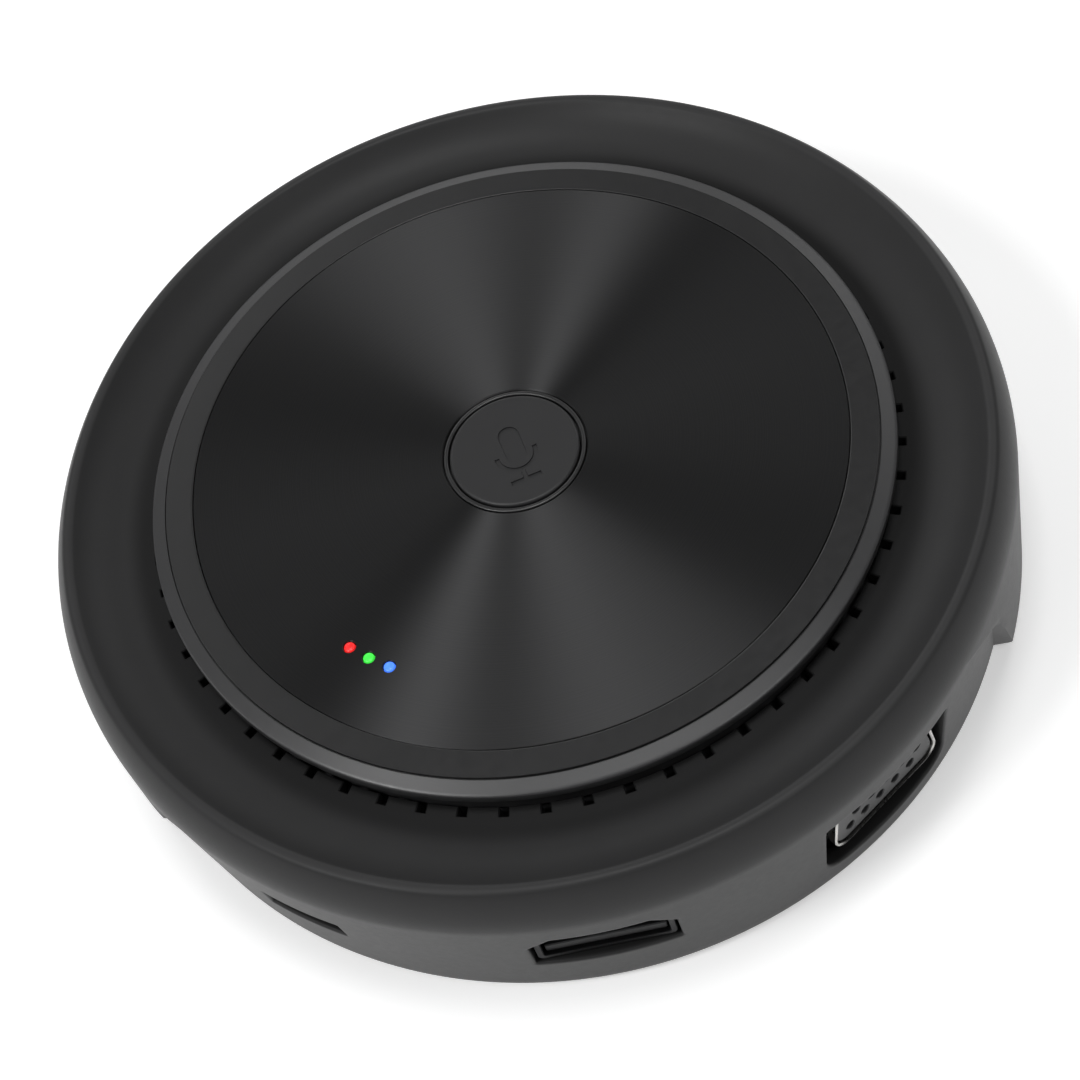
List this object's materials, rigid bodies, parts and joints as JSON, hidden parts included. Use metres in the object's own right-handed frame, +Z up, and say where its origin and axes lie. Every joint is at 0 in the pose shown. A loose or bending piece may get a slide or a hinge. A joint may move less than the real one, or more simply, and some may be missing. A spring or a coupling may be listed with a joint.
{
  "type": "conference speakerphone",
  "caption": "Round puck speakerphone: brushed top disc with a press button and status lights, ring of sound vents, and a leaning port bay with VGA, HDMI and USB-C sockets.",
  "frame": {"origin": "centre of the rubber foot's resting face, at the bottom centre of the object", "axes": "+Z up, out of the brushed disc and along the button's travel; -Y out of the HDMI socket at the middle of the port bay; +X to the right of someone facing the ports"},
  "size_m": [0.11, 0.11, 0.0267],
  "materials": {
    "housing": "soft-touch fine moulded texture",
    "base": "fine moulded texture",
    "rubber": "matt silicone rubber",
    "bezel": "satin with a polished chamfer",
    "disc": "black anodised, turned concentric grain",
    "button": "satin with an embossed microphone mark",
    "switch_plunger": "moulded",
    "chip": "moulded epoxy",
    "light_red": "lit red diffuser",
    "light_green": "lit green diffuser",
    "light_blue": "lit blue diffuser",
    "board": "solder-masked fibreglass",
    "can": "tinned",
    "inner_plastic": "moulded",
    "flex": "polyimide film",
    "screw": "black zinc",
    "speaker_steel": "zinc plated",
    "ferrite": "sintered ferrite",
    "coil": "enamelled copper winding",
    "cone": "pressed paper",
    "spider": "resin-stiffened cloth",
    "nickel": "nickel plated",
    "dark_nickel": "black nickel plated",
    "insert": "glass-filled nylon"
  },
  "bodies": {
    "case": {"upper_housing": "housing", "base_plate": "base", "rubber_foot": "rubber", "speaker_surround": "rubber", "speaker_gasket": "rubber", "bezel": "bezel", "button_ring": "bezel", "brushed_disc": "disc", "tact_switch": "chip", "processor": "chip", "video_chip": "chip", "light_pipe_red": "light_red", "led_red": "light_red", "light_pipe_green": "light_green", "led_green": "light_green", "light_pipe_blue": "light_blue", "led_blue": "light_blue", "top_board": "board", "main_board": "board", "microphone_1": "can", "microphone_2": "can", "microphone_3": "can", "microphone_4": "can", "shield_can": "can", "carrier": "inner_plastic", "acoustic_baffle": "inner_plastic", "flex_cable": "flex", "base_screw_1": "screw", "base_screw_2": "screw", "base_screw_3": "screw", "base_screw_4": "screw", "carrier_screw_1": "screw", "carrier_screw_2": "screw", "carrier_screw_3": "screw", "speaker_screw_1": "screw", "speaker_screw_2": "screw", "speaker_screw_3": "screw", "speaker_screw_4": "screw", "board_screw_1": "screw", "board_screw_2": "screw", "board_screw_3": "screw", "speaker_frame": "speaker_steel", "speaker_top_plate": "speaker_steel", "speaker_yoke": "speaker_steel", "speaker_magnet": "ferrite", "speaker_spider": "spider", "vga_shell": "nickel", "hdmi_shell": "dark_nickel", "usb_c_shell": "dark_nickel", "vga_insert": "insert", "hdmi_insert": "insert", "usb_c_insert": "insert"},
    "button": {"button_cap": "button"},
    "switch_plunger": {"tact_plunger": "switch_plunger"},
    "cone": {"speaker_cone": "cone", "voice_coil": "coil", "dust_cap": "cone"}
  },
  "joints": [
    {"name": "button_press", "type": "slide", "parent": "case", "child": "button", "axis": [0, 0, -1], "range_m": [0, 0.0004], "stiffness_N_per_m": 2500},
    {"name": "plunger_press", "type": "slide", "parent": "case", "child": "switch_plunger", "axis": [0, 0, -1], "range_m": [0, 0.0004]},
    {"name": "cone_travel", "type": "slide", "parent": "case", "child": "cone", "axis": [0, 0, 1], "range_m": [-0.001, 0.001], "stiffness_N_per_m": 1500, "deforming": ["speaker_surround", "speaker_spider"]}
  ],
  "couplings": [
    {"joint": "plunger_press", "follows": "button_press", "ratio": 1}
  ]
}
